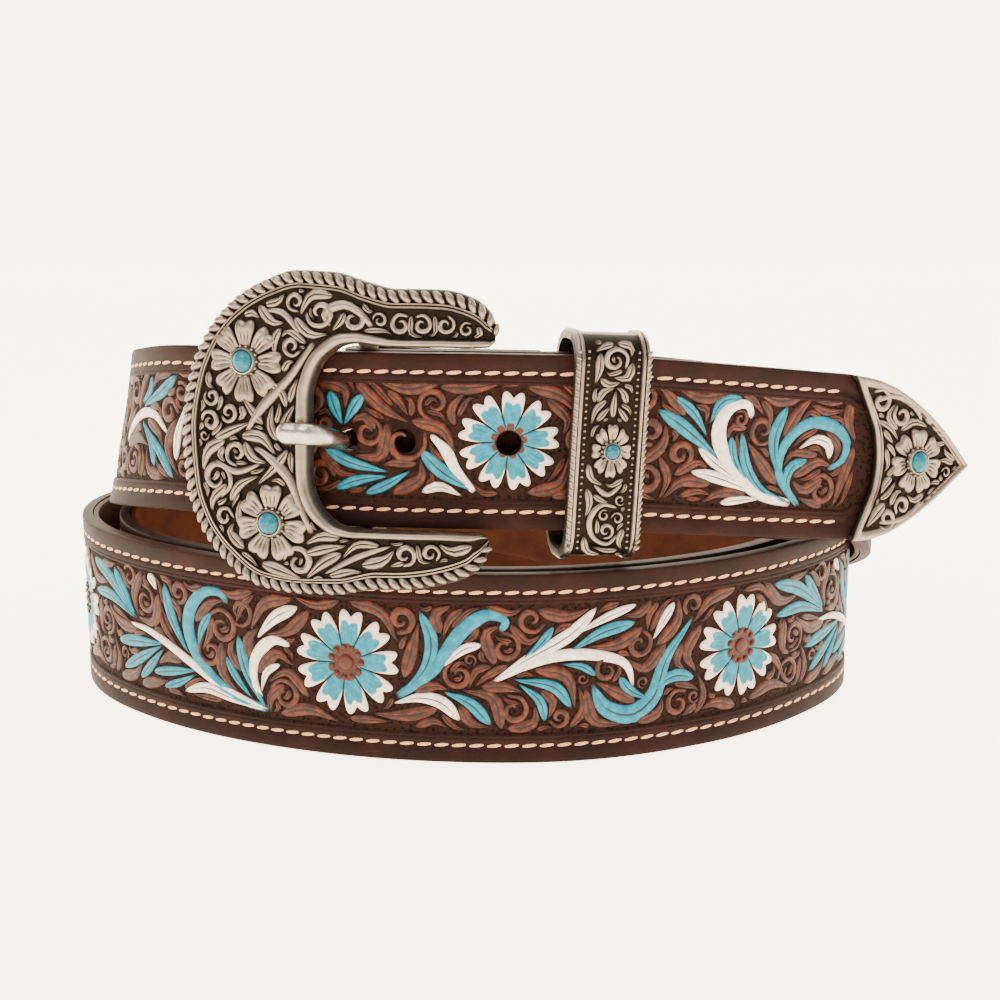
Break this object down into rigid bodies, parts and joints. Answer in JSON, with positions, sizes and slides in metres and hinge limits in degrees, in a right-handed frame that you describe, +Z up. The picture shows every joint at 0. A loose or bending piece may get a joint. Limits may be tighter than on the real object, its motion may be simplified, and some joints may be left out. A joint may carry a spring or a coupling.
{
  "type": "western tooled leather belt",
  "caption": "Coiled and buckled western belt with floral tooled leather, engraved silver-tone buckle frame, keeper and pointed tip set with turquoise domes.",
  "frame": {"origin": "under the middle of the whole belt's box, on the surface that it stands on", "axes": "+X to the right along the coil's long side, +Y from the buckle to the back of the coil, +Z up"},
  "size_m": [0.1942, 0.1254, 0.0953],
  "materials": {
    "leather": "satin, tooled and antiqued, partly painted",
    "lining": "smooth, satin",
    "silver": "antiqued silver plate over zinc alloy",
    "turquoise": "polished stone domes"
  },
  "bodies": {
    "root": {"tooled_strap": "leather", "lining": "lining", "buckle_frame": "silver", "prong": "silver", "keeper_loop": "silver", "belt_tip": "silver", "stone_buckle_upper": "turquoise", "stone_buckle_lower": "turquoise", "stone_keeper": "turquoise", "stone_tip": "turquoise"}
  },
  "joints": []
}
